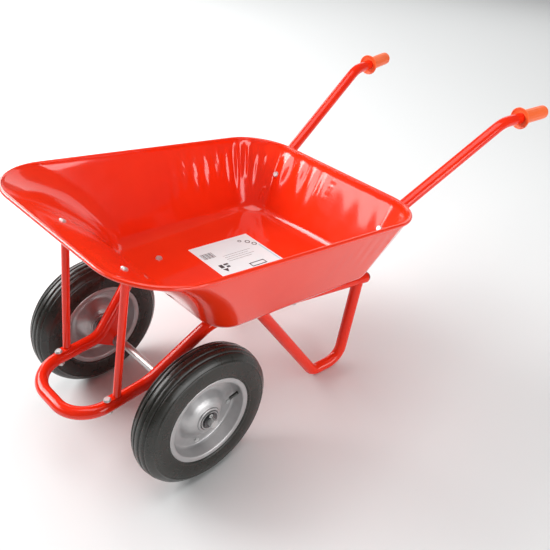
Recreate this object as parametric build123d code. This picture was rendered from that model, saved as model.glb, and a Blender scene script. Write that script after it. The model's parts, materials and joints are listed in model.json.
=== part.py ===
from build123d import *
from math import cos, hypot, radians, sin
import os

# A two-wheeled garden wheelbarrow: pressed tray, bent tube frame, pneumatic wheels on one axle.
#
# Millimetres. X is the width, Y the length with the handles towards +Y, and Z is up from the ground.
# Places are worked out with Y = 0 at the axle, then everything moves so that the origin is on the
# ground under the middle of the whole length.

# Wheels
TYRE_R = 175.0
TYRE_WIDTH = 81.0
GROOVE_OFFSETS = (-21.0, -7.5, 7.5, 21.0)
GROOVE_WIDTH = 3.0
GROOVE_FLOOR_R = {7.5: 172.5, 21.0: 169.0}
# One half of the tyre's cross-section, as (radius, distance from its middle), from the bead outwards
TYRE_OUTSIDE = [
    (101.0, 26.0),
    (104.2, 31.5),
    (110.4, 33.8),
    (114.5, 37.5),
    (123.0, 39.8),
    (136.0, TYRE_WIDTH / 2),
    (150.0, 38.5),
    (161.0, 33.5),
    (168.5, 26.0),
    (172.5, 17.0),
    (174.5, 8.5),
    (TYRE_R, 3.0),
]
TYRE_INSIDE = [
    (101.0, 22.0),
    (112.0, 29.5),
    (122.0, 33.5),
    (136.0, 35.0),
    (148.0, 33.0),
    (158.0, 28.0),
    (166.5, 14.0),
    (169.0, 0.0),
]
TUBE_WALL = 1.6
INNER_TUBE_CENTRE_R = 136.0
INNER_TUBE_HALF = 31.0
INNER_TUBE_HEIGHT = 29.0
RIM_SHEET = 1.5
HUB_R = 23.5
# The inner face of one rim half: flange, bead seat, side of the well, bolting ring, and dome to the hub
RIM_LINE = [
    (110.0, 34.1),
    (104.5, 33.6),
    (100.2, 27.0),
    (94.0, 3.0),
    (91.0, 0.0),
    (66.0, 0.0),
    (60.0, 6.0),
    (48.0, 17.0),
    (36.0, 24.5),
    (HUB_R + 1.0, 27.5),
]
HUB_WALL = 2.5
HUB_LENGTH = 66.0
BEARING_WIDTH = 14.0
TRACK_HALF = 220.5
RIM_BOLT_CIRCLE_R = 79.0
RIM_BOLT_COUNT = 4
RIM_BOLT_R = 3.0
RIM_HEAD_R = 5.5
RIM_HEAD_HEIGHT = 3.0
RIM_NUT_HEIGHT = 4.0
RIM_FIRST_BOLT = 76.0
VALVE_R = 4.0
VALVE_OFFSET = 17.0
VALVE_TIP_R = 72.0
VALVE_ANGLE = 175.0

# How far a cutting tool goes past what it cuts, and the size of one that takes away all on one side
PAST = 5.0
LARGE = 400.0

# Axle
AXLE_R = 10.0
AXLE_HALF = 270.0
RUNNING_CLEARANCE = 0.05
FIT_GAP = 0.1
END_PLAY = 0.5
SPACER_R = 15.0
WASHER_R = 17.0
WASHER_THICK = 2.5
COTTER_R = 1.6
COTTER_LENGTH = 32.0
COTTER_EYE = (3.5, 1.4)
COTTER_X = 259.0

# Frame tubes
TUBE_R = 15.0
TUBE_THICK = 2.0
STRUT_R = 9.0
STRUT_THICK = 1.5
STRUT_FOOT = (106.5, -139.0)
STRUT_HEAD = (118.0, -73.0, 572.0)
HOOP_FRONT_Y = -241.0
HOOP_HALF = 104.0
HOOP_Z = 222.0
HOOP_CORNER_R = 80.0
HOOP_REAR_Y = -96.0
RISE_START_Y = -57.0
RISE_TOP = (147.0, 100.8)
BEND_R = 60.0
FRAME_FLARE = 0.1416
FRAME_REAR_Y = 563.0
CAP_LENGTH = 7.0
CAP_STEP = 1.0
CAP_TAPER = 20.0
SIDE_BY_SIDE = 31.0
WELD_GAP = 0.1

# Handles
HANDLE_FRONT_Y = 128.0
HANDLE_KNEE = (204.6, 668.0)
HANDLE_CREST = (262.5, 1028.0, 573.0)
HANDLE_END = (286.0, 1198.0, 561.7)
HANDLE_WRAP_R = 44.0
HANDLE_BEND_R = 100.0
GRIP_R = 19.0
GRIP_LENGTH = 107.0
GRIP_SKIN_END = 4.0
GRIP_FLANGE_R = 30.0
GRIP_FLANGE_THICK = 7.0
GRIP_ROUND = 3.0

# Tray: the rim lies in a plane that dips to the rear, and the floor dips a little less
RIM_TILT = 12.5
RIM_FRONT = (-166.0, 635.0)
RIM_LENGTH = 858.0
RIM_HALF_FRONT = 309.0
RIM_HALF_REAR = 308.0
RIM_CORNER_FRONT = 145.0
RIM_CORNER_REAR = 124.0
FLOOR_FRONT_U = 284.0
FLOOR_REAR_U = 787.0
FLOOR_DEPTH_FRONT = 219.5
FLOOR_DEPTH_REAR = 189.0
FLOOR_HALF_FRONT = 215.0
FLOOR_HALF_REAR = 236.0
FLOOR_CORNER = 62.0
BEVEL_IN = 18.0
BEVEL_UP = 24.0
BEVEL_MIDDLE = (2.0, 6.0)
NOSE_BULGE = 38.0
NOSE_STEPS = (2 / 3, 1 / 3)
SHEET = 1.5
WALL_INSETS = (2.6, 1.6, 1.65)
SEAT_LIFT = SHEET + 0.4
BEAD_R = 5.0
RIM_WIRE_R = 3.0

# Label
LABEL_X = 22.0
LABEL_LENGTH = 273.0
LABEL_Y = (231.0, 424.0)
LABEL_TURN = -2.5
LABEL_THICK = 0.3

# Fasteners
BOLT_R = 4.0
HEAD_R = 9.0
HEAD_HEIGHT = 4.0
HEAD_TAPER = 30.0
NUT_R = 7.5
NUT_HEIGHT = 6.0
BOLT_END = 4.0
PLATE = 3.0
TAB_LENGTH = 38.0
HOOP_BOLT_Y = -161.0
FLOOR_BOLT_Y = 151.0
REAR_BOLT_Z = 379.0
NOSE_BOLT_SHARE = 0.76
REAR_BOLT_TURN = 8.0
REAR_BOLT_LIFT = 2.0
SIDE_BOLT_Y = (190.0, 320.0)

# Legs
LEG_FRONT_TOP_Y = 222.0
LEG_FOOT_FRONT_Y = 400.0
LEG_FOOT_REAR_Y = 490.0
LEG_REAR_TOP_Y = 538.0
LEG_FRONT_BEND_R = 30.0
LEG_REAR_BEND_R = 50.0
LEG_SADDLE_REACH = 50.0

# Axle brackets
BRACKET_OUTER_X = 136.0
BRACKET_INNER_X = 110.0
BRACKET_SHEET = 4.0
BRACKET_NOSE_R = 19.0
# The outline of a bracket's cheek above its round nose, as (Y, Z)
BRACKET_CHEEK = [(-66.0, 202.0), (36.0, 274.0), (32.0, 256.0), (17.0, 167.0), (-11.0, 160.0)]

# Cross member under the floor
CROSS_Y = 478.0
CROSS_WIDTH = 34.0
CROSS_THICK = 4.0
CROSS_GAP = 4.0
CROSS_SADDLE_REACH = 60.0

SIDES = {"left": 1, "right": -1}


def node(name, *solids):
    """Writes one named piece, moved so that the origin is under the middle of the length."""
    placed = [Pos(0, -MIDDLE_Y, 0) * solid for solid in solids]
    shape = placed[0] if len(placed) == 1 else Compound(children=placed)
    shape.label = name
    export_step(shape, os.path.join("parts", f"{name}.step"))


def mix(first, second, share):
    """The value a share of the way from the first to the second, number by number."""
    return [a + (b - a) * share for a, b in zip(first, second)]


def rod(start, end, radius):
    """A round bar between two points."""
    along = Vector(*end) - Vector(*start)
    return extrude(Plane(start, z_dir=along) * Circle(radius), along.length)


def swept(path, radius):
    """A round bar along a path."""
    return sweep(Plane(path @ 0, z_dir=path % 0) * Circle(radius), path)


def bent(points, bends):
    """A centre line of straight runs with round bends."""
    return FilletPolyline(*points, radius=bends)


def hollow(path, radius, wall):
    return swept(path, radius) - swept(path, radius - wall)


def hexagon_nut(start, direction):
    face = RegularPolygon(NUT_R, 6) - Circle(BOLT_R + FIT_GAP)
    return extrude(Plane(start, z_dir=direction) * face, NUT_HEIGHT)


def carriage_bolt(seat, direction, length):
    """A low domed head standing on its seat, and a shank going the other way."""
    down = -Vector(*direction).normalized()
    head = extrude(Plane(seat, z_dir=direction) * Circle(HEAD_R), HEAD_HEIGHT, taper=HEAD_TAPER)
    return head + rod(seat, Vector(*seat) + down * length, BOLT_R)


# Tray geometry

def tray_point(x, along, depth):
    """A place given along the rim plane from its front edge, and square to it downwards."""
    tilt = radians(RIM_TILT)
    y = RIM_FRONT[0] + along * cos(tilt) - depth * sin(tilt)
    z = RIM_FRONT[1] - along * sin(tilt) - depth * cos(tilt)
    return Vector(x, y, z)


# An outline: front and rear edge, their depths, half widths there, and corner radii there
RIM_OUTLINE = (0, RIM_LENGTH, 0, 0, RIM_HALF_FRONT, RIM_HALF_REAR, RIM_CORNER_FRONT, RIM_CORNER_REAR)
FLOOR_OUTLINE = (
    FLOOR_FRONT_U,
    FLOOR_REAR_U,
    FLOOR_DEPTH_FRONT,
    FLOOR_DEPTH_REAR,
    FLOOR_HALF_FRONT,
    FLOOR_HALF_REAR,
    FLOOR_CORNER,
    FLOOR_CORNER,
)


def inset(outline, inwards, upwards=0.0):
    """The outline drawn in by amounts at its front, rear and sides, in its own plane."""
    front, rear, depth_front, depth_rear, half_front, half_rear, round_front, round_rear = outline
    at_front, at_rear, at_sides = inwards
    slope = (depth_rear - depth_front) / (rear - front)
    return (
        front + at_front,
        rear - at_rear,
        depth_front + slope * at_front - upwards,
        depth_rear - slope * at_rear - upwards,
        half_front - at_sides,
        half_rear - at_sides,
        round_front - at_sides,
        round_rear - at_sides,
    )


def outline_wire(outline):
    front, rear, depth_front, depth_rear, half_front, half_rear, round_front, round_rear = outline
    corners = [
        tray_point(-half_front, front, depth_front),
        tray_point(half_front, front, depth_front),
        tray_point(half_rear, rear, depth_rear),
        tray_point(-half_rear, rear, depth_rear),
    ]
    bends = [round_front, round_front, round_rear, round_rear]
    return Wire(FilletPolyline(*corners, radius=bends, close=True).edges())


def wall_outline(share):
    """The outline of the walls a share of the way down from the rim, with the nose bulging inwards."""
    outline = mix(RIM_OUTLINE, FLOOR_OUTLINE, share)
    outline[0] += 4 * NOSE_BULGE * share * (1 - share)
    return outline


def tray_sections(inwards):
    """Floor edge, the two steps of its bevel, two levels of the walls and rim, all drawn in alike."""
    upwards = SHEET if inwards[0] else 0
    step_in, step_up = BEVEL_MIDDLE
    floor = inset(inset(FLOOR_OUTLINE, (BEVEL_IN,) * 3), inwards, upwards)
    step = inset(inset(FLOOR_OUTLINE, (step_in,) * 3, step_up), inwards, upwards / 2)
    levels = [wall_outline(1 - BEVEL_UP / FLOOR_DEPTH_FRONT)] + [wall_outline(t) for t in NOSE_STEPS]
    levels.append(inset(RIM_OUTLINE, (RIM_WIRE_R,) * 3))
    return [outline_wire(o) for o in (floor, step, *[inset(level, inwards) for level in levels])]


def rim_bar(radius):
    path = outline_wire(RIM_OUTLINE)
    return sweep(Plane(path @ 0, z_dir=path % 0) * Circle(radius), path)


def floor_z(y):
    """Height of the underside of the tray floor."""
    front = tray_point(0, FLOOR_FRONT_U, FLOOR_DEPTH_FRONT)
    rear = tray_point(0, FLOOR_REAR_U, FLOOR_DEPTH_REAR)
    return front.Z + (rear.Z - front.Z) * (y - front.Y) / (rear.Y - front.Y)


def normal_to(first, second):
    """Unit direction square to a line in the YZ plane, on its upper side."""
    run = Vector(0, second.Y - first.Y, second.Z - first.Z).normalized()
    up = Vector(0, -run.Z, run.Y)
    return up if up.Z > 0 else -up


FLOOR_FRONT = tray_point(0, FLOOR_FRONT_U, FLOOR_DEPTH_FRONT)
FLOOR_REAR = tray_point(0, FLOOR_REAR_U, FLOOR_DEPTH_REAR)
RIM_REAR = tray_point(0, RIM_LENGTH, 0)
FLOOR_UP = normal_to(FLOOR_FRONT, FLOOR_REAR)
REAR_WALL_IN = normal_to(FLOOR_REAR, RIM_REAR)


def tube_z(y):
    """Height of the centre line of a frame tube that runs along under the floor."""
    return floor_z(y) - (TUBE_R + WELD_GAP) / FLOOR_UP.Z


def frame_x(y):
    """Half the distance between the two frame tubes under the floor."""
    return RISE_TOP[0] + FRAME_FLARE * (y - RISE_TOP[1])


def under_floor(side, y, inboard=0.0):
    return (side * (frame_x(y) - inboard), y, tube_z(y))


# Frame pieces

def front_hoop():
    half = HOOP_HALF
    corners = [
        (-half, HOOP_REAR_Y, HOOP_Z),
        (-half, HOOP_FRONT_Y, HOOP_Z),
        (half, HOOP_FRONT_Y, HOOP_Z),
        (half, HOOP_REAR_Y, HOOP_Z),
    ]
    hoop = hollow(bent(corners, [HOOP_CORNER_R, HOOP_CORNER_R]), TUBE_R, TUBE_THICK)
    for side in SIDES.values():
        top = (side * half, HOOP_BOLT_Y, HOOP_Z + TUBE_R)
        bottom = (side * half, HOOP_BOLT_Y, HOOP_Z - TUBE_R)
        hoop -= rod(top, bottom, BOLT_R + FIT_GAP)
    return hoop


def frame_path(side):
    """Centre line of a side tube: back from the hoop, up over the axle, and along under the floor."""
    rise_x, rise_y = RISE_TOP
    points = [
        (side * HOOP_HALF, HOOP_REAR_Y, HOOP_Z),
        (side * HOOP_HALF, RISE_START_Y, HOOP_Z),
        (side * rise_x, rise_y, tube_z(rise_y)),
        under_floor(side, FRAME_REAR_Y),
    ]
    return bent(points, [BEND_R, BEND_R])


def side_tube(side):
    tube = hollow(frame_path(side), TUBE_R, TUBE_THICK)
    for y in SIDE_BOLT_Y:
        tube -= side_bolt_hole(side, y)
    return tube


def tube_cap(side):
    """A plastic cap pushed into the rear end of a side tube."""
    path = frame_path(side)
    seat = Plane(path @ 1, z_dir=path % 1)
    plug = extrude(seat * Circle(TUBE_R - TUBE_THICK - FIT_GAP), -2 * CAP_LENGTH)
    dome = extrude(seat * Circle(TUBE_R - CAP_STEP), CAP_LENGTH, taper=CAP_TAPER)
    return plug + dome


def side_bolt_ends(side, y):
    """Where a bolt that ties a side tube to the handle tube enters and leaves them."""
    across = Vector(side, -FRAME_FLARE, 0).normalized()
    centre = Vector(*under_floor(side, y))
    apart = SIDE_BY_SIDE * abs(across.X)
    return centre + across * (TUBE_R + WELD_GAP), centre - across * (apart + TUBE_R + WELD_GAP)


def side_bolt_hole(side, y):
    outer, inner = side_bolt_ends(side, y)
    past = (outer - inner).normalized() * PAST
    return rod(outer + past, inner - past, BOLT_R + FIT_GAP)


def handle_points(side):
    """Forward end, corner behind the tray, knee under the rim, crest, and grip end."""
    wall_line = RIM_REAR - REAR_WALL_IN * (TUBE_R + WELD_GAP)
    wall = RIM_REAR - FLOOR_REAR
    wall_slope = wall.Z / wall.Y
    floor_slope = (FLOOR_REAR.Z - FLOOR_FRONT.Z) / (FLOOR_REAR.Y - FLOOR_FRONT.Y)
    corner_y = wall_line.Y + (tube_z(wall_line.Y) - wall_line.Z) / (wall_slope - floor_slope)
    knee_z = wall_line.Z + wall_slope * (HANDLE_KNEE[1] - wall_line.Y)
    return [
        Vector(*under_floor(side, HANDLE_FRONT_Y, SIDE_BY_SIDE)),
        Vector(*under_floor(side, corner_y, SIDE_BY_SIDE)),
        Vector(side * HANDLE_KNEE[0], HANDLE_KNEE[1], knee_z),
        Vector(side * HANDLE_CREST[0], HANDLE_CREST[1], HANDLE_CREST[2]),
        Vector(side * HANDLE_END[0], HANDLE_END[1], HANDLE_END[2]),
    ]


def handle_path(side):
    return bent(handle_points(side), [HANDLE_WRAP_R, HANDLE_BEND_R, HANDLE_BEND_R])


def handle_tube(side):
    tube = hollow(handle_path(side), TUBE_R, TUBE_THICK)
    for y in SIDE_BOLT_Y:
        tube -= side_bolt_hole(side, y)
    for seat, up, held in tray_bolts(side):
        tube -= rod(seat + up * PAST, seat - up * (held + PAST), BOLT_R + FIT_GAP)
    return tube


def grip_frame(side):
    """Start of the grip, looking along the last run of the handle towards its end."""
    path = handle_path(side)
    return Plane(path @ 1 - (path % 1) * (GRIP_LENGTH - GRIP_SKIN_END), z_dir=path % 1)


def grip(side):
    start = grip_frame(side)
    body = extrude(start * Circle(GRIP_R), GRIP_LENGTH)
    end = body.faces().sort_by(Axis(start.origin, start.z_dir))[-1]
    body = fillet(end.edges(), GRIP_ROUND)
    flange = extrude(start * Circle(GRIP_FLANGE_R), GRIP_FLANGE_THICK)
    bore = extrude(start * Circle(TUBE_R), GRIP_LENGTH - GRIP_SKIN_END)
    return body + flange - bore


def leg(side):
    """A bent tube whose two ends are welded under the side tube."""
    points = [
        under_floor(side, LEG_FRONT_TOP_Y),
        (side * frame_x(LEG_FOOT_FRONT_Y), LEG_FOOT_FRONT_Y, TUBE_R),
        (side * frame_x(LEG_FOOT_REAR_Y), LEG_FOOT_REAR_Y, TUBE_R),
        under_floor(side, LEG_REAR_TOP_Y),
    ]
    tube = hollow(bent(points, [LEG_FRONT_BEND_R, LEG_REAR_BEND_R]), TUBE_R, TUBE_THICK)
    saddle_front = under_floor(side, LEG_FRONT_TOP_Y - LEG_SADDLE_REACH)
    saddle_rear = under_floor(side, LEG_REAR_TOP_Y + LEG_SADDLE_REACH)
    return tube - rod(saddle_front, saddle_rear, TUBE_R + WELD_GAP)


def strut_axis(side):
    foot = Vector(side * STRUT_FOOT[0], STRUT_FOOT[1], HOOP_Z + TUBE_R + WELD_GAP)
    head = Vector(side * STRUT_HEAD[0], STRUT_HEAD[1], STRUT_HEAD[2])
    return foot, head


def strut(side):
    """A thin tube with flattened ends, from the hoop up to the nose of the tray."""
    foot, head = strut_axis(side)
    start = foot + (head - foot).normalized() * PLATE
    tube = hollow(Line(start, head), STRUT_R, STRUT_THICK)
    tab_face = Pos(0, TAB_LENGTH / 2 - STRUT_R) * SlotOverall(TAB_LENGTH, 2 * STRUT_R, rotation=90)
    foot_tab = extrude(Plane((side * HOOP_HALF, HOOP_BOLT_Y, foot.Z)) * tab_face, PLATE)
    bolt_low = (side * HOOP_HALF, HOOP_BOLT_Y, foot.Z - PAST)
    bolt_high = (side * HOOP_HALF, HOOP_BOLT_Y, foot.Z + PLATE + PAST)
    seat, up = nose_seat(side)
    under = Plane(seat - up * (SEAT_LIFT + WELD_GAP), x_dir=(1, 0, 0), z_dir=up)
    head_tab = extrude(under * tab_face, PLATE, dir=-up)
    above = extrude(under.offset(-PLATE / 2) * Rectangle(LARGE, LARGE), LARGE, dir=up)
    piece = (tube - above) + foot_tab + head_tab
    piece -= rod(bolt_low, bolt_high, BOLT_R + FIT_GAP)
    below_tab = seat - up * (SEAT_LIFT + PLATE)
    piece -= rod(below_tab, below_tab - up * 2 * NUT_HEIGHT, NUT_R + 1)
    return piece - rod(seat, below_tab - up * NUT_HEIGHT, BOLT_R + FIT_GAP)


def axle_bracket(side):
    """A pressed channel welded under the side tube, with the axle through both its cheeks."""
    cheek = Plane.YZ * (Pos(0, TYRE_R) * Circle(BRACKET_NOSE_R) + Polygon(*BRACKET_CHEEK, align=None))
    width = BRACKET_OUTER_X - BRACKET_INNER_X
    block = Pos(BRACKET_INNER_X, 0, 0) * extrude(cheek, width, dir=(1, 0, 0))
    pocket = extrude(cheek, width - 2 * BRACKET_SHEET, dir=(1, 0, 0))
    block -= Pos(BRACKET_INNER_X + BRACKET_SHEET, BRACKET_SHEET / 2, BRACKET_SHEET) * pocket
    block -= rod((0, 0, TYRE_R), (TRACK_HALF, 0, TYRE_R), AXLE_R + FIT_GAP)
    block -= swept(frame_path(1), TUBE_R + WELD_GAP)
    block = max(block.solids(), key=lambda piece: piece.volume)
    return block if side > 0 else mirror(block, about=Plane.YZ)


def cross_member():
    """A flat bar between the two handle tubes, close under the floor."""
    plane = Plane((0, CROSS_Y, floor_z(CROSS_Y) - CROSS_GAP), x_dir=(1, 0, 0), z_dir=FLOOR_UP)
    bar = extrude(plane * Rectangle(2 * frame_x(CROSS_Y), CROSS_WIDTH), -CROSS_THICK)
    for side in SIDES.values():
        front = under_floor(side, CROSS_Y - CROSS_SADDLE_REACH, SIDE_BY_SIDE)
        rear = under_floor(side, CROSS_Y + CROSS_SADDLE_REACH, SIDE_BY_SIDE)
        bar -= rod(front, rear, TUBE_R + WELD_GAP)
    return min(bar.solids(), key=lambda piece: abs(piece.center().X))


# Tray pieces

def nose_seat(side):
    """Where the strut bolt sits on the inside of the tray's nose, and the way up from it."""
    front, _, depth, *_ = wall_outline(NOSE_STEPS[-1])
    top = tray_point(side * STRUT_HEAD[0], RIM_WIRE_R, 0)
    low = tray_point(side * STRUT_HEAD[0], front, depth)
    up = normal_to(top, low)
    return top + (low - top) * NOSE_BOLT_SHARE + up * SEAT_LIFT, up


def tray_bolts(side):
    """Seat, upward direction and held thickness of the bolts from the tray into the handle tube."""
    surface = TUBE_R + WELD_GAP
    floor_x = side * (frame_x(FLOOR_BOLT_Y) - SIDE_BY_SIDE)
    floor_seat = Vector(floor_x, FLOOR_BOLT_Y, floor_z(FLOOR_BOLT_Y)) + FLOOR_UP * SEAT_LIFT
    share = (REAR_BOLT_Z - FLOOR_REAR.Z) / (RIM_REAR.Z - FLOOR_REAR.Z)
    wall = FLOOR_REAR + (RIM_REAR - FLOOR_REAR) * share
    corner, knee = handle_points(side)[1:3]
    centre = wall - REAR_WALL_IN * surface
    along = (centre.Z - corner.Z) / (knee.Z - corner.Z)
    rear_x = corner.X + (knee.X - corner.X) * along
    turn = radians(REAR_BOLT_TURN)
    inwards = REAR_WALL_IN * cos(turn) - Vector(side * sin(turn), 0, 0)
    reach = (surface + REAR_BOLT_LIFT) / cos(turn) + SEAT_LIFT
    rear_seat = Vector(rear_x, centre.Y, centre.Z) + inwards * reach
    return [(floor_seat, FLOOR_UP, SEAT_LIFT + 2 * surface), (rear_seat, inwards, reach + surface)]


def tray():
    """One pressed sheet: a flat floor, a bevel, sloping walls, and an edge rolled round a wire."""
    outer = Solid.make_loft(tray_sections((0, 0, 0)), ruled=True)
    inner = Solid.make_loft(tray_sections(WALL_INSETS), ruled=True)
    pan = outer - inner + rim_bar(BEAD_R) - rim_bar(RIM_WIRE_R + FIT_GAP)
    for side in SIDES.values():
        seats = [(seat, up) for seat, up, _ in tray_bolts(side)] + [nose_seat(side)]
        for seat, up in seats:
            pan -= rod(seat + up * HEAD_R, seat - up * HEAD_R, BOLT_R + FIT_GAP)
    return pan


def label():
    """A blank sticker lying on the tray floor."""
    middle_y = (LABEL_Y[0] + LABEL_Y[1]) / 2
    lift = FLOOR_UP * (SHEET + WELD_GAP)
    plane = Plane(Vector(LABEL_X, middle_y, floor_z(middle_y)) + lift, x_dir=(1, 0, 0), z_dir=FLOOR_UP)
    sheet = Rotation(0, 0, LABEL_TURN) * Rectangle(LABEL_LENGTH, LABEL_Y[1] - LABEL_Y[0])
    return extrude(plane * sheet, LABEL_THICK, dir=FLOOR_UP)


# Wheel pieces, built with the wheel's centre at the origin and its axle along X, outer face at +X

def band(points, thickness):
    """The cross-section of a sheet that follows the points, kept on their outer side."""
    shifted = []
    for i, (r, a) in enumerate(points):
        before = points[max(i - 1, 0)]
        after = points[min(i + 1, len(points) - 1)]
        normals = []
        for first, second in ((before, (r, a)), ((r, a), after)):
            run = (second[0] - first[0], second[1] - first[1])
            length = hypot(*run)
            if length > 0:
                normals.append((run[1] / length, -run[0] / length))
        across = (sum(n[0] for n in normals), sum(n[1] for n in normals))
        scale = thickness * len(normals) / (across[0] ** 2 + across[1] ** 2)
        shifted.append((r + across[0] * scale, a + across[1] * scale))
    return list(points) + shifted[::-1]


def turned(points):
    """A solid turned about X from (radius, place along X) points."""
    outline = Plane.XY * Polygon(*[(a, r) for r, a in points], align=None)
    return revolve(outline, Axis.X)


def tyre():
    """A hollow carcass with round grooves in its tread."""
    outside = TYRE_OUTSIDE + [(r, -a) for r, a in reversed(TYRE_OUTSIDE)]
    inside = [(r, -a) for r, a in TYRE_INSIDE[:-1]] + TYRE_INSIDE[::-1]
    ring = turned(outside + inside)
    for offset in GROOVE_OFFSETS:
        groove = Circle(TYRE_R + PAST) - Circle(GROOVE_FLOOR_R[abs(offset)])
        ring -= extrude(Plane.YZ.offset(offset - GROOVE_WIDTH / 2) * groove, GROOVE_WIDTH)
    return ring


def inner_tube():
    """An air tube with its valve stem, inside the tyre."""
    middle = Pos(0, INNER_TUBE_CENTRE_R)
    skin = middle * Ellipse(INNER_TUBE_HALF, INNER_TUBE_HEIGHT)
    hole = middle * Ellipse(INNER_TUBE_HALF - TUBE_WALL, INNER_TUBE_HEIGHT - TUBE_WALL)
    ring = revolve(skin - hole, Axis.X)
    root = INNER_TUBE_CENTRE_R - INNER_TUBE_HEIGHT + VALVE_R
    stem = rod(valve_point(root), valve_point(VALVE_TIP_R), VALVE_R)
    core = revolve(hole, Axis.X)
    return ring + (stem - core)


def valve_point(radius):
    angle = radians(VALVE_ANGLE)
    return (VALVE_OFFSET, -radius * cos(angle), radius * sin(angle))


def rim_half():
    """One pressed half of the rim: flange, bead seat, flat bolting ring and dome."""
    sheet = turned(band(RIM_LINE, RIM_SHEET))
    for turn in rim_bolt_turns():
        sheet -= turn * rod((-PAST, RIM_BOLT_CIRCLE_R, 0), (PAST, RIM_BOLT_CIRCLE_R, 0), RIM_BOLT_R + FIT_GAP)
    return sheet


def outer_rim():
    hole = rod(valve_point(INNER_TUBE_CENTRE_R), valve_point(VALVE_TIP_R - 2), VALVE_R + FIT_GAP)
    return rim_half() - hole


def rim_bolt_turns():
    return [Rotation(RIM_FIRST_BOLT + i * 360 / RIM_BOLT_COUNT, 0, 0) for i in range(RIM_BOLT_COUNT)]


def rim_bolts():
    solids = []
    for turn in rim_bolt_turns():
        seat = (RIM_SHEET, RIM_BOLT_CIRCLE_R, 0)
        head = rod(seat, (RIM_SHEET + RIM_HEAD_HEIGHT, RIM_BOLT_CIRCLE_R, 0), RIM_HEAD_R)
        shank = rod(seat, (-RIM_SHEET - RIM_NUT_HEIGHT - RIM_SHEET, RIM_BOLT_CIRCLE_R, 0), RIM_BOLT_R)
        solids.append(turn * (head + shank))
    return solids


def rim_nuts():
    solids = []
    for turn in rim_bolt_turns():
        seat = Plane((-RIM_SHEET, RIM_BOLT_CIRCLE_R, 0), z_dir=(-1, 0, 0))
        face = RegularPolygon(RIM_HEAD_R, 6) - Circle(RIM_BOLT_R + FIT_GAP)
        solids.append(turn * extrude(seat * face, RIM_NUT_HEIGHT))
    return solids


def hub():
    start = Plane.YZ.offset(-HUB_LENGTH / 2)
    return extrude(start * (Circle(HUB_R) - Circle(HUB_R - HUB_WALL)), HUB_LENGTH)


def bearings():
    face = Circle(HUB_R - HUB_WALL) - Circle(AXLE_R + RUNNING_CLEARANCE)
    starts = (-HUB_LENGTH / 2, HUB_LENGTH / 2 - BEARING_WIDTH)
    return [extrude(Plane.YZ.offset(x) * face, BEARING_WIDTH) for x in starts]


def write_wheel(name, side):
    """Every piece of one wheel, turned so that its outer face looks away from the frame."""
    pieces = {
        "tyre": [tyre()],
        "inner_tube": [inner_tube()],
        "outer_rim": [outer_rim()],
        "inner_rim": [mirror(rim_half(), about=Plane.YZ)],
        "hub": [hub()],
        "wheel_bearings": bearings(),
        "rim_bolts": rim_bolts(),
        "rim_nuts": rim_nuts(),
    }
    for piece, solids in pieces.items():
        if side < 0:
            solids = [mirror(solid, about=Plane.YZ) for solid in solids]
        node(f"{name}_{piece}", *[Pos(side * TRACK_HALF, 0, TYRE_R) * solid for solid in solids])


# Axle pieces

def axle():
    bar = rod((-AXLE_HALF, 0, TYRE_R), (AXLE_HALF, 0, TYRE_R), AXLE_R)
    for side in SIDES.values():
        low = (side * COTTER_X, 0, TYRE_R - 2 * AXLE_R)
        high = (side * COTTER_X, 0, TYRE_R + 2 * AXLE_R)
        bar -= rod(low, high, COTTER_R + FIT_GAP)
    return bar


def ring_on_axle(side, start, length, radius):
    """A round collar on the axle, from one distance to another on one side."""
    face = Plane.YZ.offset(start) * Pos(0, TYRE_R) * (Circle(radius) - Circle(AXLE_R + FIT_GAP))
    ring = extrude(face, length)
    return ring if side > 0 else mirror(ring, about=Plane.YZ)


def spacer(side):
    start = BRACKET_OUTER_X + WELD_GAP
    return ring_on_axle(side, start, TRACK_HALF - HUB_LENGTH / 2 - END_PLAY - start, SPACER_R)


def washer(side):
    return ring_on_axle(side, TRACK_HALF + HUB_LENGTH / 2 + END_PLAY, WASHER_THICK, WASHER_R)


def cotter(side):
    """A pin through the end of the axle, with a round eye at its top."""
    low = (side * COTTER_X, 0, TYRE_R - COTTER_LENGTH / 2)
    high = (side * COTTER_X, 0, TYRE_R + COTTER_LENGTH / 2)
    eye_r, eye_wire_r = COTTER_EYE
    eye = Pos(*high) * Pos(0, 0, eye_r - eye_wire_r) * Rotation(0, 90, 0) * Torus(eye_r, eye_wire_r)
    return rod(low, high, COTTER_R) + eye


def both(make):
    return [make(side) for side in SIDES.values()]


def fasteners():
    """Bolts and nuts as groups: one group of bolts and one of nuts for each job."""
    groups = {}
    for side in SIDES.values():
        seat = Vector(side * HOOP_HALF, HOOP_BOLT_Y, HOOP_Z + TUBE_R + WELD_GAP + PLATE)
        up = Vector(0, 0, 1)
        jobs = [("hoop", seat, up, PLATE + 2 * TUBE_R + 2 * WELD_GAP)]
        nose, nose_up = nose_seat(side)
        jobs.append(("nose", nose, nose_up, SEAT_LIFT + PLATE + 2 * WELD_GAP))
        for job, bolt in zip(("floor", "rear_wall"), tray_bolts(side)):
            jobs.append((job, *bolt))
        for y in SIDE_BOLT_Y:
            outer, inner = side_bolt_ends(side, y)
            jobs.append(("frame", outer, (outer - inner).normalized(), (outer - inner).length))
        for job, place, direction, held in jobs:
            bolt = carriage_bolt(place, direction, held + NUT_HEIGHT + BOLT_END)
            nut = hexagon_nut(place - direction * (held + WELD_GAP), -direction)
            groups.setdefault(f"{job}_bolts", []).append(bolt)
            groups.setdefault(f"{job}_nuts", []).append(nut)
    return groups


end = grip_frame(1)
end_centre = end.origin + end.z_dir * GRIP_LENGTH
TOTAL_REAR = end_centre.Y + (GRIP_R - GRIP_ROUND) * (1 - end.z_dir.Y**2) ** 0.5
MIDDLE_Y = (HOOP_FRONT_Y - TUBE_R + TOTAL_REAR) / 2

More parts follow.
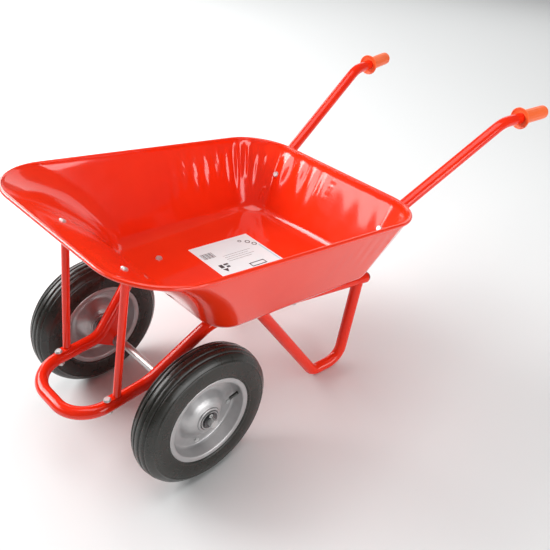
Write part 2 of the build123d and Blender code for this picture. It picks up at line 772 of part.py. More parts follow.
os.makedirs("parts", exist_ok=True)
node("tray", tray())
node("rim_wire", rim_bar(RIM_WIRE_R))
node("label", label())
node("front_hoop", front_hoop())
node("cross_member", cross_member())
node("axle", axle())
for name, side in SIDES.items():
    node(f"{name}_side_tube", side_tube(side))
    node(f"{name}_handle_tube", handle_tube(side))
    node(f"{name}_grip", grip(side))
    node(f"{name}_leg", leg(side))
    node(f"{name}_front_strut", strut(side))
    node(f"{name}_axle_bracket", axle_bracket(side))
    write_wheel(name, side)
node("side_tube_caps", *both(tube_cap))
node("axle_spacers", *both(spacer))
node("axle_washers", *both(washer))
node("cotter_pins", *both(cotter))
for name, solids in fasteners().items():
    node(name, *solids)
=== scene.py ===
"""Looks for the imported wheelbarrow: tray, tyres, rims, grips and label print in detail, and all finishes."""

import json
import math

import bmesh
import bpy
from mathutils import Matrix, Vector


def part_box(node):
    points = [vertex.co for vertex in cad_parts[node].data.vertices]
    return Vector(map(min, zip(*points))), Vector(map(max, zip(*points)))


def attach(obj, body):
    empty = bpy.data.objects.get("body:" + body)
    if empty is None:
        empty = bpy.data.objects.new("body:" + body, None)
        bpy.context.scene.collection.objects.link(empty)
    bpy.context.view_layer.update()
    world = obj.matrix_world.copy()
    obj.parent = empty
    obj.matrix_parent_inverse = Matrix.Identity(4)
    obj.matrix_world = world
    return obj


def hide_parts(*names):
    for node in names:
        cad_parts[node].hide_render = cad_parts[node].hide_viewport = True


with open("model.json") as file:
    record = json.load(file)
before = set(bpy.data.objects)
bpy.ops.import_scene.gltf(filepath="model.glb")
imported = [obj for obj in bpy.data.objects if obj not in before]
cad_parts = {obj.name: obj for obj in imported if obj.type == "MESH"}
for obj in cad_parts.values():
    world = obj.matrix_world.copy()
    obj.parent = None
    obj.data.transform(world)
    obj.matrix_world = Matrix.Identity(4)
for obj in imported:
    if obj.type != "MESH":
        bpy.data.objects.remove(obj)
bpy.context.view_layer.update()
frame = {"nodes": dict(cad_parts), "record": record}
nodes = frame["nodes"]

MM = 0.001
SIDES = {"left": 1, "right": -1}


def middle(node):
    low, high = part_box(node)
    return (low + high) / 2


AXLE = middle("axle")


# ---------------------------------------------------------------- materials

def material(name, colour, roughness, metallic=0.0, coat=0.0, coat_roughness=0.1, specular=0.5):
    """A principled material with its constant values on the shader's own sockets."""
    mat = bpy.data.materials.new(name)
    mat.use_nodes = True
    shader = mat.node_tree.nodes["Principled BSDF"]
    shader.inputs["Base Color"].default_value = (*colour, 1)
    shader.inputs["Roughness"].default_value = roughness
    shader.inputs["Metallic"].default_value = metallic
    shader.inputs["Coat Weight"].default_value = coat
    shader.inputs["Coat Roughness"].default_value = coat_roughness
    shader.inputs["Specular IOR Level"].default_value = specular
    return mat


def add(mat, kind, **inputs):
    node = mat.node_tree.nodes.new(kind)
    for name, value in inputs.items():
        node.inputs[name.replace("_", " ")].default_value = value
    return node


def link(mat, source, target):
    mat.node_tree.links.new(source, target)


def noise(mat, scale, detail=2.0, stretch=(1, 1, 1), distortion=0.0):
    """Noise in object space, with the scale in waves per metre."""
    coords = add(mat, "ShaderNodeTexCoord")
    mapping = add(mat, "ShaderNodeMapping", Scale=stretch)
    texture = add(mat, "ShaderNodeTexNoise", Scale=scale, Detail=detail, Distortion=distortion)
    link(mat, coords.outputs["Object"], mapping.inputs["Vector"])
    link(mat, mapping.outputs["Vector"], texture.inputs["Vector"])
    return texture.outputs["Fac"]


def ramp(mat, source, stops):
    node = mat.node_tree.nodes.new("ShaderNodeValToRGB")
    elements = node.color_ramp.elements
    while len(elements) < len(stops):
        elements.new(0.5)
    for element, (place, colour) in zip(elements, stops):
        element.position = place
        element.color = (*colour, 1)
    link(mat, source, node.inputs["Fac"])
    return node.outputs["Color"]


# the values of a noise between which a colour or a roughness goes from one end to the other
NOISE_LOW, NOISE_HIGH = 0.3, 0.7


def vary_colour(mat, source, low, high):
    shader = mat.node_tree.nodes["Principled BSDF"]
    link(mat, ramp(mat, source, [(NOISE_LOW, low), (NOISE_HIGH, high)]), shader.inputs["Base Color"])


def vary_roughness(mat, source, low, high):
    node = add(mat, "ShaderNodeMapRange", From_Min=NOISE_LOW, From_Max=NOISE_HIGH, To_Min=low, To_Max=high)
    link(mat, source, node.inputs["Value"])
    link(mat, node.outputs["Result"], mat.node_tree.nodes["Principled BSDF"].inputs["Roughness"])


def bump(mat, source, distance, strength=1.0):
    """Adds a bump of a real height in metres, on top of any bump that is there."""
    shader = mat.node_tree.nodes["Principled BSDF"]
    node = add(mat, "ShaderNodeBump", Strength=strength, Distance=distance)
    if shader.inputs["Normal"].links:
        link(mat, shader.inputs["Normal"].links[0].from_socket, node.inputs["Normal"])
    link(mat, source, node.inputs["Height"])
    link(mat, node.outputs["Normal"], shader.inputs["Normal"])


def red_paint(name, colour, darker, coat, wave):
    """Glossy powder coat: slow waves, fine orange peel and a little dust in the shine."""
    mat = material(name, colour, 0.25, coat=coat, coat_roughness=0.07, specular=0.15)
    mat.node_tree.nodes["Principled BSDF"].inputs["Coat IOR"].default_value = 1.62
    vary_colour(mat, noise(mat, 7, 4), darker, colour)
    vary_roughness(mat, noise(mat, 30, 3), 0.10, 0.22)
    bump(mat, noise(mat, 900, 1), 0.00002, 0.15)
    bump(mat, noise(mat, 25, 0), wave, 0.5)
    return mat


TRAY_RED = red_paint("tray_red", (0.90, 0.036, 0.006), (0.85, 0.028, 0.004), 0.7, 0.0003)
FRAME_RED = red_paint("frame_red", (0.88, 0.028, 0.005), (0.80, 0.020, 0.004), 0.4, 0.00012)

GRIP_ORANGE = material("grip_orange", (0.95, 0.15, 0.035), 0.38)
vary_colour(GRIP_ORANGE, noise(GRIP_ORANGE, 25, 3), (0.90, 0.13, 0.030), (0.97, 0.17, 0.042))
vary_roughness(GRIP_ORANGE, noise(GRIP_ORANGE, 120, 2), 0.32, 0.46)
bump(GRIP_ORANGE, noise(GRIP_ORANGE, 1500, 1), 0.00004, 0.5)

CAP_PLASTIC = material("cap_maroon", (0.16, 0.012, 0.010), 0.4)
vary_roughness(CAP_PLASTIC, noise(CAP_PLASTIC, 200, 2), 0.32, 0.5)
bump(CAP_PLASTIC, noise(CAP_PLASTIC, 900, 1), 0.00005, 0.5)

ZINC = material("bright_zinc", (0.6, 0.6, 0.6), 0.3, metallic=0.65)
vary_colour(ZINC, noise(ZINC, 60, 4), (0.50, 0.51, 0.51), (0.66, 0.66, 0.65))
vary_roughness(ZINC, noise(ZINC, 150, 3), 0.34, 0.46)

RIM_GREY = material("rim_silver", (0.47, 0.46, 0.46), 0.36, metallic=0.55, coat=0.35, coat_roughness=0.2)
vary_colour(RIM_GREY, noise(RIM_GREY, 18, 4), (0.40, 0.39, 0.395), (0.52, 0.51, 0.51))
vary_roughness(RIM_GREY, noise(RIM_GREY, 70, 3), 0.3, 0.46)
bump(RIM_GREY, noise(RIM_GREY, 700, 1), 0.00003, 0.5)
bump(RIM_GREY, noise(RIM_GREY, 28, 1), 0.0004, 0.5)

# Darker steel for the bearings' dark seals, and for the axle washers, which are darkened to stand for the
# shade round the hub: painted shade on the washers.
DARK_SEAL_AND_SHADE_STEEL = material("dark_seal_and_painted_shade_steel", (0.16, 0.16, 0.17), 0.34, metallic=1.0)
vary_roughness(DARK_SEAL_AND_SHADE_STEEL, noise(DARK_SEAL_AND_SHADE_STEEL, 200, 3), 0.26, 0.45)
vary_colour(DARK_SEAL_AND_SHADE_STEEL, noise(DARK_SEAL_AND_SHADE_STEEL, 90, 3), (0.10, 0.10, 0.11), (0.22, 0.22, 0.22))

TYRE_BLACK = material("tyre_black", (0.018, 0.018, 0.015), 0.3, specular=0.5)
vary_colour(TYRE_BLACK, noise(TYRE_BLACK, 12, 4), (0.014, 0.015, 0.012), (0.025, 0.024, 0.020))
vary_roughness(TYRE_BLACK, noise(TYRE_BLACK, 40, 4), 0.22, 0.36)
bump(TYRE_BLACK, noise(TYRE_BLACK, 1200, 2), 0.00008, 0.4)

# The white sticker is tinted cyan to cancel the red light thrown on it from the tray walls: painted light in
# its colour, which is bluer than the real white sticker.
STICKER_TINTED_AGAINST_RED_LIGHT = material("sticker_tinted_against_red_light", (0.80, 0.92, 0.93), 0.35)
vary_colour(STICKER_TINTED_AGAINST_RED_LIGHT, noise(STICKER_TINTED_AGAINST_RED_LIGHT, 14, 3), (0.76, 0.90, 0.92), (0.82, 0.93, 0.94))
vary_roughness(STICKER_TINTED_AGAINST_RED_LIGHT, noise(STICKER_TINTED_AGAINST_RED_LIGHT, 60, 2), 0.3, 0.42)
bump(STICKER_TINTED_AGAINST_RED_LIGHT, noise(STICKER_TINTED_AGAINST_RED_LIGHT, 30, 1), 0.0002, 0.4)


# ---------------------------------------------------------------- meshes

def mesh_object(name, points, faces, mat, smooth=True):
    mesh = bpy.data.meshes.new(name)
    mesh.from_pydata(points, [], faces)
    mesh.update()
    for polygon in mesh.polygons:
        polygon.use_smooth = smooth
    mesh.materials.append(mat)
    piece = bpy.data.objects.new(name, mesh)
    bpy.context.scene.collection.objects.link(piece)
    return piece


def grid_faces(rows, columns, closed_rows=False):
    """Quads between rows of points, each row a closed ring."""
    faces = []
    for r in range(rows if closed_rows else rows - 1):
        below = (r + 1) % rows
        for c in range(columns):
            right = (c + 1) % columns
            faces.append((r * columns + c, r * columns + right, below * columns + right, below * columns + c))
    return faces


# the most of a side that the rounding of one of its corners takes
CORNER_SHARE = 0.45


def rounded(points, radius, steps=4):
    """The line through the points with each inner corner rounded."""
    line = [Vector(points[0])]
    for before, corner, after in zip(points, points[1:], points[2:]):
        corner = Vector(corner)
        back, ahead = Vector(before) - corner, Vector(after) - corner
        reach = min(radius, back.length * CORNER_SHARE, ahead.length * CORNER_SHARE)
        start, end = corner + back.normalized() * reach, corner + ahead.normalized() * reach
        for i in range(steps + 1):
            s = i / steps
            line.append(start * (1 - s) ** 2 + corner * 2 * s * (1 - s) + end * s * s)
    line.append(Vector(points[-1]))
    return line


def lathe(name, profile, place, mat, closed=True, segments=128):
    """A ring or disc turned from (radius, distance along the axis) points, in millimetres."""
    points = []
    for radius, along in profile:
        for i in range(segments):
            angle = 2 * math.pi * i / segments
            local = Vector((along, radius * math.cos(angle), radius * math.sin(angle))) * MM
            points.append(place @ local)
    faces = grid_faces(len(profile), segments, closed)
    if not closed:
        faces.append(tuple(range(segments))[::-1])
        faces.append(tuple((len(profile) - 1) * segments + i for i in range(segments)))
    piece = mesh_object(name, points, faces, mat)
    fix_normals(piece)
    return piece


def fix_normals(piece):
    work = bmesh.new()
    work.from_mesh(piece.data)
    bmesh.ops.recalc_face_normals(work, faces=work.faces)
    work.to_mesh(piece.data)
    work.free()


def smooth_by_angle(piece, degrees):
    """Keeps edges sharper than the angle sharp."""
    piece.data.set_sharp_from_angle(angle=math.radians(degrees))


# ---------------------------------------------------------------- tray

# RIM and FLOOR: front and rear place, depth at front and rear, half width at front and rear, and corner
# radius at front and rear, in millimetres along and below the tilted plane of the rim
RIM_TILT = math.radians(12.5)
RIM_FRONT = (-166.0, 635.0)
RIM = (0, 858.0, 0, 0, 309.0, 308.0, 145.0, 124.0)
FLOOR = (284.0, 787.0, 219.5, 189.0, 215.0, 236.0, 62.0, 62.0)
WALL_INSETS = (2.6, 1.6, 1.65)
NOSE_BULGE = 38.0
SHEET = 1.5
BEVEL_IN = 18.0
BEVEL_UP = 24.0
BEAD_R = 5.0
BEAD_CURL = math.radians(168)
WALL_START = 0.012
SLOPE_STEP = 0.02
ARC_STEPS = 46
SIDE_STEPS = 46
BEAD_STEPS = 18
WALL_ROWS = 46
JOIN_ROWS = 3
BEVEL_ROWS = 10
BEVEL_EASE = 0.12
FLOOR_ROWS = 14


def tray_point(x, along, depth):
    """A place along the rim plane from its front edge, and square to it downwards."""
    y = RIM_FRONT[0] + along * math.cos(RIM_TILT) - depth * math.sin(RIM_TILT)
    z = RIM_FRONT[1] - along * math.sin(RIM_TILT) - depth * math.cos(RIM_TILT)
    return Vector((x * MM, AXLE.y + y * MM, z * MM))


def mix(first, second, share):
    return [a + (b - a) * share for a, b in zip(first, second)]


def inset(outline, inwards, upwards=0.0):
    """The outline moved in at its front, rear and sides, and up, in millimetres."""
    front, rear, depth_front, depth_rear, half_front, half_rear, round_front, round_rear = outline
    at_front, at_rear, at_sides = inwards
    slope = (depth_rear - depth_front) / (rear - front)
    return (
        front + at_front,
        rear - at_rear,
        depth_front + slope * at_front - upwards,
        depth_rear - slope * at_rear - upwards,
        half_front - at_sides,
        half_rear - at_sides,
        max(round_front - at_sides, 5),
        max(round_rear - at_sides, 5),
    )


def outline_ring(outline):
    """Points round an outline, the same number on every corner and side, from the front left corner."""
    front, rear, depth_front, depth_rear, half_front, half_rear, round_front, round_rear = outline
    corners = [
        (Vector((half_front, front)), round_front),
        (Vector((half_rear, rear)), round_rear),
        (Vector((-half_rear, rear)), round_rear),
        (Vector((-half_front, front)), round_front),
    ]
    arcs = []
    for i, (corner, radius) in enumerate(corners):
        back = (corners[i - 1][0] - corner).normalized()
        ahead = (corners[(i + 1) % 4][0] - corner).normalized()
        half_angle = back.angle(ahead) / 2
        centre = corner + (back + ahead).normalized() * radius / math.sin(half_angle)
        start = corner + back * radius / math.tan(half_angle) - centre
        end = corner + ahead * radius / math.tan(half_angle) - centre
        sweep = start.angle_signed(end)
        arc = []
        for k in range(ARC_STEPS + 1):
            turn = Matrix.Rotation(-sweep * k / ARC_STEPS, 2)
            arc.append(centre + turn @ start)
        arcs.append(arc)
    ring = []
    for i, arc in enumerate(arcs):
        ring += arc
        start, end = arc[-1], arcs[(i + 1) % 4][0]
        ring += [start.lerp(end, k / SIDE_STEPS) for k in range(1, SIDE_STEPS)]
    slope = (depth_rear - depth_front) / (rear - front)
    return [tray_point(p.x, p.y, depth_front + slope * (p.y - front)) for p in ring], ring


def wall_outline(share):
    """The outline of the walls a share of the way down from the rim, with the nose bulging inwards."""
    outline = mix(RIM, FLOOR, share)
    outline[0] += 4 * NOSE_BULGE * share * (1 - share)
    return outline


# wrinkles round the rear corners: heights in millimetres, places and lengths measured round the edge,
# shares of the depth from the edge to the floor
RIPPLE_HEIGHT = 3.2
RIPPLE_MIDDLE = 320.0
RIPPLE_REACH = 265.0
RIPPLE_WAVE = 8.6
SWAY = 1.1
SWAY_WAVE = 47.0
CLOSER_FROM = 300.0
CLOSER_RATE = 0.06
FINGER_WAVE = 17.5
TOP_SHARE = 0.03
SHORTEST_SHARE = 0.50
LONGER_SHARE = 0.26
FINE_HEIGHT = 0.16
FINE_WAVE = 2.3
FINE_SWAY_WAVE = 11.0
LEFT_SIDE_STRENGTH = 0.16

# small knocks in the rear right corner: distance round the edge from the rear middle, and share of the depth
DIMPLES = ((228.5, 0.65), (232.0, 0.72), (234.5, 0.79))
DIMPLE_HEIGHT = 4.2
DIMPLE_R = 6.5
DIMPLE_SHARE = 0.028


def distance_round(x, along):
    """Distance round the edge from the middle of the rear wall."""
    half, rear, round_rear = RIM[5], RIM[1], RIM[7]
    if along > rear - round_rear and abs(x) > half - round_rear:
        swing = math.atan2(abs(x) - (half - round_rear), along - (rear - round_rear))
        return half - round_rear + swing * round_rear
    if along > rear - round_rear:
        return abs(x)
    return half - round_rear + math.pi / 2 * round_rear + rear - round_rear - along


def ripple(x, along, share):
    """Height of the draw wrinkles round the rear corners, in millimetres inwards."""
    around = distance_round(x, along)
    side = 1 if x > 0 else -1
    strength = 1.0 if x < 0 else LEFT_SIDE_STRENGTH
    spread = math.exp(-(((around - RIPPLE_MIDDLE) / RIPPLE_REACH) ** 4))
    closer = CLOSER_RATE * max(0.0, around - CLOSER_FROM)
    phase = around / RIPPLE_WAVE + closer + SWAY * math.sin(around / SWAY_WAVE + side) + side
    finger = 0.5 + 0.5 * math.sin(around / FINGER_WAVE + 2 * side)
    deep = min(1.0, max(0.0, (share - TOP_SHARE) / (SHORTEST_SHARE + LONGER_SHARE * finger)))
    profile = math.sin(math.pi * deep ** 0.8) ** 1.2
    fine = math.sin(around / FINE_WAVE + 2 * math.sin(around / FINE_SWAY_WAVE))
    height = strength * spread * profile * (RIPPLE_HEIGHT * math.sin(phase) + FINE_HEIGHT * fine)
    if x < 0:
        for place, down in DIMPLES:
            away = ((around - place) / DIMPLE_R) ** 2 + ((share - down) / DIMPLE_SHARE) ** 2
            height += DIMPLE_HEIGHT * math.exp(-away)
    return height


def bead_rows(rim_ring):
    """The rolled edge, from its curled-in end over the top to where the wall starts."""
    count = len(rim_ring)
    up = Vector((0, math.sin(RIM_TILT), math.cos(RIM_TILT)))
    first, _ = outline_ring(inset(wall_outline(WALL_START), WALL_INSETS))
    second, _ = outline_ring(inset(wall_outline(WALL_START + SLOPE_STEP), WALL_INSETS))
    bead = []
    for i in range(count):
        along = (rim_ring[(i + 1) % count] - rim_ring[i - 1]).normalized()
        out = along.cross(up)
        if out.dot(rim_ring[i] - tray_point(0, RIM[1] / 2, 0)) < 0:
            out = -out
        wall = first[i] - second[i]
        bead.append((out, math.pi / 2 + math.atan2(wall.dot(up), wall.dot(out))))
    rows = []
    for k in range(BEAD_STEPS + 1):
        row = []
        for centre, (out, start) in zip(rim_ring, bead):
            angle = -BEAD_CURL + (start + BEAD_CURL) * k / BEAD_STEPS
            row.append(centre + (out * math.cos(angle) + up * math.sin(angle)) * BEAD_R * MM)
        rows.append(row)
    return rows


def wall_rows(bead_end, top):
    """Rows of (ring, flat ring, share of the depth) down the walls, eased into the bead's last row."""
    rows = []
    for k in range(WALL_ROWS):
        share = WALL_START + (top - WALL_START) * k / (WALL_ROWS - 1)
        ring, flat = outline_ring(inset(wall_outline(share), WALL_INSETS))
        if k < JOIN_ROWS:
            ring = [a.lerp(b, (k + 1) / (JOIN_ROWS + 1)) for a, b in zip(bead_end, ring)]
        rows.append((ring, flat, share))
    return rows


def bevel_rows(wall_row, floor_row, top):
    """Rows of (ring, flat ring, share of the depth) round the curved bevel, from the walls to the floor."""
    corner_row, corner_flat = outline_ring(inset(FLOOR, WALL_INSETS, SHEET))
    rows = []
    for k in range(1, BEVEL_ROWS + 1):
        s = k / BEVEL_ROWS
        row = []
        for w, c, f in zip(wall_row, corner_row, floor_row):
            control = c.lerp((w + f) / 2, BEVEL_EASE)
            row.append(w * (1 - s) ** 2 + control * 2 * s * (1 - s) + f * s * s)
        rows.append((row, corner_flat, top + (1 - top) * s))
    return rows


def press_ripples(mesh, rows, flip):
    """Moves the points of the walls and the bevel in by the height of the ripples, along their normals."""
    moves = []
    index = 0
    for _, flats, share in rows:
        for flat in flats:
            height = 0.0 if share is None else ripple(flat.x, flat.y, share)
            if abs(height) > 1e-3:
                moves.append((index, mesh.vertices[index].normal * flip * height * MM))
            index += 1
    for index, move in moves:
        mesh.vertices[index].co += move


def build_tray():
    rim_ring, rim_flat = outline_ring(RIM)
    count = len(rim_ring)
    top = 1 - BEVEL_UP / FLOOR[2]
    rows = [(ring, rim_flat, None) for ring in bead_rows(rim_ring)]
    rows += wall_rows(rows[-1][0], top)
    floor_outline = inset(inset(FLOOR, (BEVEL_IN,) * 3), WALL_INSETS, SHEET)
    floor_row, floor_flat = outline_ring(floor_outline)
    rows += bevel_rows(rows[-1][0], floor_row, top)
    floor_middle = sum(floor_row, Vector()) / count
    for k in range(1, FLOOR_ROWS + 1):
        rows.append(([f.lerp(floor_middle, k / (FLOOR_ROWS + 1)) for f in floor_row], floor_flat, None))
    points = [p for ring, _, _ in rows for p in ring]
    faces = grid_faces(len(rows), count)
    last = (len(rows) - 1) * count
    faces.append(tuple(last + i for i in range(count)))
    piece = mesh_object("tray_shell", points, faces, TRAY_RED)
    fix_normals(piece)
    flip = 1 if piece.data.vertices[last].normal.z > 0 else -1
    press_ripples(piece.data, rows, flip)
    solid = piece.modifiers.new("sheet", "SOLIDIFY")
    solid.thickness = SHEET * MM
    solid.offset = -1 if flip > 0 else 1
    solid.use_even_offset = False
    return piece


tray = build_tray()
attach(tray, "frame")
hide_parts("tray")


# ---------------------------------------------------------------- wheels

def tyre_profile():
    """Closed cross-section of the tyre: bead, side with two rings, ribbed tread, and the inside."""
    half = [
        (101.0, 25.0), (103.6, 31.0), (109.6, 33.9), (112.6, 37.4), (114.8, 38.3), (116.2, 37.9),
        (118.5, 38.6), (124.0, 39.7), (132.0, 40.35), (138.0, 40.4), (145.0, 39.7), (150.5, 38.5),
        (152.0, 38.9), (154.5, 37.9), (155.8, 36.4), (161.0, 33.3), (166.0, 29.3), (168.6, 26.6),
        (169.4, 24.2), (167.4, 22.8), (167.4, 20.8), (171.0, 19.3), (172.4, 17.2), (173.3, 13.6),
        (173.6, 10.2), (171.2, 9.0), (171.2, 7.0), (174.2, 5.6), (174.9, 3.2), (175.0, 0.0),
    ]
    outside = half + [(r, -a) for r, a in half[-2::-1]]
    inside = [
        (112.0, 29.5), (122.0, 33.5), (136.0, 35.0), (148.0, 33.0), (158.0, 28.0), (165.0, 14.0),
        (166.0, 0.0),
    ]
    inner = [(r, -a) for r, a in inside[:-1]] + [(r, a) for r, a in inside[::-1]]
    line = rounded(outside + inner + [outside[0]], 1.6, 3)
    return line[:-1]


def rim_profile(outer):
    """Pressed rim half: flange with a rolled lip, bead seat, well, bolting ring and dome."""
    face = [
        (110.0, 34.6), (108.4, 35.6), (100.5, 35.0), (97.6, 33.2), (94.4, 7.0), (91.2, 1.6), (69.0, 1.5),
        (63.5, 4.0), (57.0, 10.5), (49.0, 18.0), (40.5, 23.9), (33.5, 26.8), (31.2, 27.6), (30.4, 30.6),
        (28.6, 31.8), (25.6, 31.6),
    ]
    back = [
        (24.6, 27.5), (31.5, 25.9), (39.5, 22.5), (48.0, 16.6), (56.0, 9.1), (62.5, 2.5), (68.5, 0.1),
        (92.5, 0.1), (96.0, 6.0), (99.6, 31.0), (102.0, 33.4), (109.6, 33.9),
    ]
    sign = 1 if outer else -1
    return [(r, a * sign) for r, a in rounded(face, 3.2, 4) + rounded(back, 3.0, 4)]


def wheel_place(name, side):
    """From the wheel's own frame, with its outer face towards +X, to its place."""
    spot = Vector((middle(f"{name}_tyre").x, AXLE.y, AXLE.z))
    return Matrix.Translation(spot) @ Matrix.Diagonal((side, 1, 1, 1))


for name, side in SIDES.items():
    place = wheel_place(name, side)
    tyre = lathe(f"{name}_tyre_ribbed", tyre_profile(), place, TYRE_BLACK, segments=160)
    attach(tyre, f"{name}_wheel")
    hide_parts(f"{name}_tyre")
    for word, outer in (("outer", True), ("inner", False)):
        rim = lathe(f"{name}_{word}_rim_pressed", rim_profile(outer), place, RIM_GREY, segments=128)
        smooth_by_angle(rim, 40)
        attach(rim, f"{name}_wheel")
        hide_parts(f"{name}_{word}_rim")


# ---------------------------------------------------------------- grips

# (radius, distance along the handle from the flange's face) from the grip's mouth to its closed end
FLANGE_THICK = 7.0
GRIP_LINE = [
    (15.1, 5.2), (18.5, 5.0), (24.0, 3.6), (28.0, 0.2), (29.6, 0.0), (30.0, 1.6), (29.4, 3.6), (25.5, 6.4),
    (21.5, 8.6), (19.6, 12.0), (19.1, 20.0), (18.9, 60.0), (18.8, 98.0), (18.4, 103.0), (16.6, 106.0),
    (13.0, 107.0), (0.5, 107.0),
]
GRIP_SEGMENTS = 112
RIDGES = 14
RIDGE_DEPTH = 0.3
RIDGES_FROM, RIDGES_TO, RIDGE_FADE = 14.0, 98.0, 8.0


def grip_place(name):
    """Frame of a grip: X along the handle's last run, starting at its flange."""
    mount = next(m for m in frame["record"]["mounts"] if m["name"] == f"{name}_grip")
    along = Vector(mount["axis"]).normalized()
    start = Vector(mount["pos_m"]) - along * (mount["dims"]["length_mm"] / 2 + FLANGE_THICK) * MM
    side = along.cross(Vector((0, 0, 1))).normalized()
    up = side.cross(along)
    turn = Matrix((along, side, up)).transposed().to_4x4()
    return Matrix.Translation(start) @ turn


def build_grip(name):
    place = grip_place(name)
    line = rounded(GRIP_LINE, 1.5, 3)
    points = []
    for radius, along in line:
        fade = max(0.0, min(1.0, (along - RIDGES_FROM) / RIDGE_FADE, (RIDGES_TO - along) / RIDGE_FADE))
        for i in range(GRIP_SEGMENTS):
            angle = 2 * math.pi * i / GRIP_SEGMENTS
            grown = radius + RIDGE_DEPTH * fade * (math.cos(angle * RIDGES) - 1)
            points.append(place @ (Vector((along, grown * math.cos(angle), grown * math.sin(angle))) * MM))
    faces = grid_faces(len(line), GRIP_SEGMENTS)
    faces.append(tuple((len(line) - 1) * GRIP_SEGMENTS + i for i in range(GRIP_SEGMENTS)))
    faces.append(tuple(range(GRIP_SEGMENTS))[::-1])
    piece = mesh_object(f"{name}_grip_moulded", points, faces, GRIP_ORANGE)
    fix_normals(piece)
    return piece


for name in SIDES:
    grip = build_grip(name)
    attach(grip, "frame")
    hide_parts(f"{name}_grip")


# ---------------------------------------------------------------- print on the sticker

PRINT_DARK = material("print_dark", (0.03, 0.03, 0.035), 0.5)
vary_colour(PRINT_DARK, noise(PRINT_DARK, 500, 2), (0.02, 0.02, 0.025), (0.07, 0.07, 0.08))
PRINT_BLUE = material("print_blue", (0.45, 0.72, 0.80), 0.5)
vary_colour(PRINT_BLUE, noise(PRINT_BLUE, 300, 2), (0.40, 0.68, 0.78), (0.55, 0.78, 0.84))
PRINT_LIFT = 0.06
FLAT_WITHIN = 0.02


def label_frame():
    """Corner, across and along directions of the sticker's upper face."""
    mesh = nodes["label"].data
    top = max(mesh.polygons, key=lambda p: (p.normal.z > 0.5, p.area))
    corners = [v.co for v in mesh.vertices if abs((v.co - top.center).dot(top.normal)) < FLAT_WITHIN * MM]
    origin = min(corners, key=lambda c: c.x + c.y)
    across = (max(corners, key=lambda c: c.x - c.y) - origin).normalized()
    return origin.copy(), across, top.normal.cross(across).normalized(), top.normal.copy()


def print_mark(outline):
    """A thin closed prism over an outline of (across, along) points in millimetres."""
    origin, across, along, up = label_frame()
    points = []
    for lift in (-PRINT_LIFT, PRINT_LIFT):
        points += [origin + (across * u + along * v + up * lift) * MM for u, v in outline]
    count = len(outline)
    faces = [tuple(range(count))[::-1], tuple(range(count, 2 * count))]
    faces += [(i, (i + 1) % count, count + (i + 1) % count, count + i) for i in range(count)]
    return points, faces


def block(u, v, width, height):
    return [(u, v), (u + width, v), (u + width, v + height), (u, v + height)]


def print_marks(name, outlines, mat):
    points, faces = [], []
    for outline in outlines:
        more, sides = print_mark(outline)
        faces += [tuple(i + len(points) for i in side) for side in sides]
        points += more
    piece = mesh_object(name, points, faces, mat, smooth=False)
    fix_normals(piece)
    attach(piece, "frame")
    return piece


def ring_marks(u, v, radius, width, steps=20):
    marks = []
    for i in range(steps):
        a, b = 2 * math.pi * i / steps, 2 * math.pi * (i + 1) / steps
        quad = [(radius, a), (radius, b), (radius - width, b), (radius - width, a)]
        marks.append([(u + r * math.cos(t), v + r * math.sin(t)) for r, t in quad][::-1])
    return marks


# plain marks, in millimetres across and along the sticker from its corner
bars = [block(38, 8 + 3.4 * i, 26, 1.0 + 0.6 * (i % 3)) for i in range(11)]
circles = ring_marks(38, 168, 7.5, 2.6) + ring_marks(55, 178, 7.5, 2.6) + ring_marks(26, 150, 5.5, 2.2)
symbols = [block(102, 20, 16, 11), block(102, 35, 7, 14), block(113, 37, 8, 10)]
symbols.append([(123, 20), (138, 28), (123, 36)])
box_lines = [block(131, 97, 3.4, 48), block(146, 97, 3.4, 48)]
box_lines += [block(134.4, 97, 11.6, 3), block(134.4, 142, 11.6, 3)]
rules = [block(70 + 9 * i, 60, 1.0, 90 - 14 * (i % 2)) for i in range(4)]
print_marks("label_print_dark", bars + circles + symbols + box_lines + rules, PRINT_DARK)
print_marks("label_print_blue", [block(64, 184, 150, 5)], PRINT_BLUE)


# ---------------------------------------------------------------- finishes of the CAD nodes

# each finish, and how the names of its nodes end
FINISHES = (
    (FRAME_RED, (
        "side_tube", "handle_tube", "leg", "front_strut", "axle_bracket", "front_hoop", "cross_member",
    )),
    (ZINC, ("_bolts", "_nuts", "axle", "axle_spacers", "cotter_pins")),
    (RIM_GREY, ("hub",)),
    # the axle washers take the darker steel as painted shade
    (DARK_SEAL_AND_SHADE_STEEL, ("wheel_bearings", "axle_washers", "rim_wire")),
    (TYRE_BLACK, ("inner_tube",)),
    (CAP_PLASTIC, ("side_tube_caps",)),
    # the sticker's cyan tint is painted against the red light from the walls
    (STICKER_TINTED_AGAINST_RED_LIGHT, ("label",)),
)

for name, node in nodes.items():
    for mat, endings in FINISHES:
        if name.endswith(endings):
            node.data.materials.clear()
            node.data.materials.append(mat)


# ---------------------------------------------------------------- stage, lights and camera

def area_light(name, place, target, width, height, radiance):
    """A softbox of an even radiance, whatever its size."""
    data = bpy.data.lights.new(name, "AREA")
    data.shape = "RECTANGLE"
    data.size = width
    data.size_y = height
    data.energy = radiance * math.pi * width * height
    lamp = bpy.data.objects.new(name, data)
    lamp.location = place
    lamp.rotation_mode = "QUATERNION"
    lamp.rotation_quaternion = (Vector(target) - Vector(place)).to_track_quat("-Z", "Y")
    bpy.context.scene.collection.objects.link(lamp)


FLOOR_HALF = 30.0
WORLD_LIGHT = 0.15


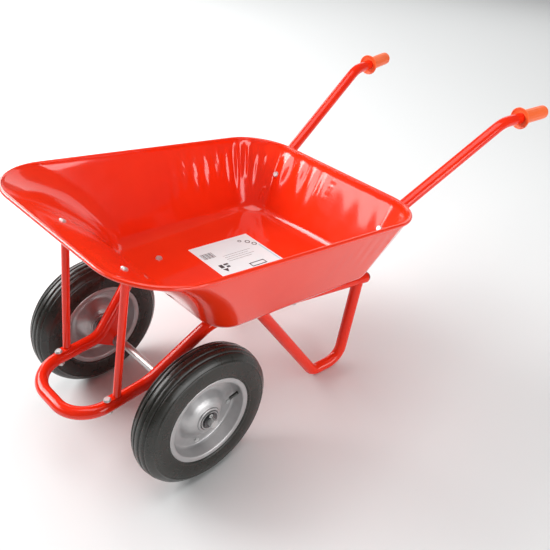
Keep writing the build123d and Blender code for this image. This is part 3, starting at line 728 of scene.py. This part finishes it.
def studio_floor():
    """A plain pale floor, much larger than the wheelbarrow."""
    mat = material("pale_floor", (0.78, 0.79, 0.79), 0.9, specular=0.0)
    corners = [(x * FLOOR_HALF, y * FLOOR_HALF, 0) for x, y in ((-1, -1), (1, -1), (1, 1), (-1, 1))]
    return mesh_object("studio_floor", corners, [(0, 1, 2, 3)], mat, smooth=False)


studio_floor()

world = bpy.data.worlds.new("studio")
world.use_nodes = True
world.node_tree.nodes["Background"].inputs["Color"].default_value = (1, 1, 1, 1)
world.node_tree.nodes["Background"].inputs["Strength"].default_value = WORLD_LIGHT
bpy.context.scene.world = world

# name, place, target, width, height and radiance of each softbox
LIGHTS = (
    ("key", (-3.0, -1.6, 2.7), (0, 0, 0.3), 2.6, 2.0, 8.5),
    ("front_left", (-2.5, -2.9, 2.75), (0, 0, 0.4), 2.8, 1.15, 4.9),
    ("left", (-3.6, 0.6, 1.6), (0, 0, 0.4), 2.2, 2.0, 4.0),
    ("back", (-1.2, 3.4, 1.3), (0, 0, 0.3), 3.4, 1.2, 1.1),
    ("top", (0.2, 0.0, 3.4), (0, 0, 0.2), 2.8, 2.8, 2.6),
    ("right", (3.2, 0.2, 0.9), (0, 0, 0.4), 2.8, 1.3, 4.8),
)

for light in LIGHTS:
    area_light(*light)

CAMERA_AZIMUTH = math.radians(46.36)
CAMERA_ELEVATION = math.radians(36.98)
CAMERA_ROLL = math.radians(0.61)
CAMERA_PLACE = (1.113, AXLE.y - 0.624, 1.375)
SENSOR_WIDTH = 36
FOCAL_LENGTH = 45.88
camera_data = bpy.data.cameras.new("camera")
camera_data.sensor_width = SENSOR_WIDTH
camera_data.lens = FOCAL_LENGTH
camera = bpy.data.objects.new("camera", camera_data)
camera.location = CAMERA_PLACE
back = Vector((
    math.sin(CAMERA_AZIMUTH) * math.cos(CAMERA_ELEVATION),
    -math.cos(CAMERA_AZIMUTH) * math.cos(CAMERA_ELEVATION),
    math.sin(CAMERA_ELEVATION),
))
camera.rotation_mode = "QUATERNION"
roll = Matrix.Rotation(CAMERA_ROLL, 3, "Z").to_quaternion()
camera.rotation_quaternion = (-back).to_track_quat("-Z", "Y") @ roll
bpy.context.scene.collection.objects.link(camera)
bpy.context.scene.camera = camera
bpy.context.scene.view_settings.view_transform = "Standard"
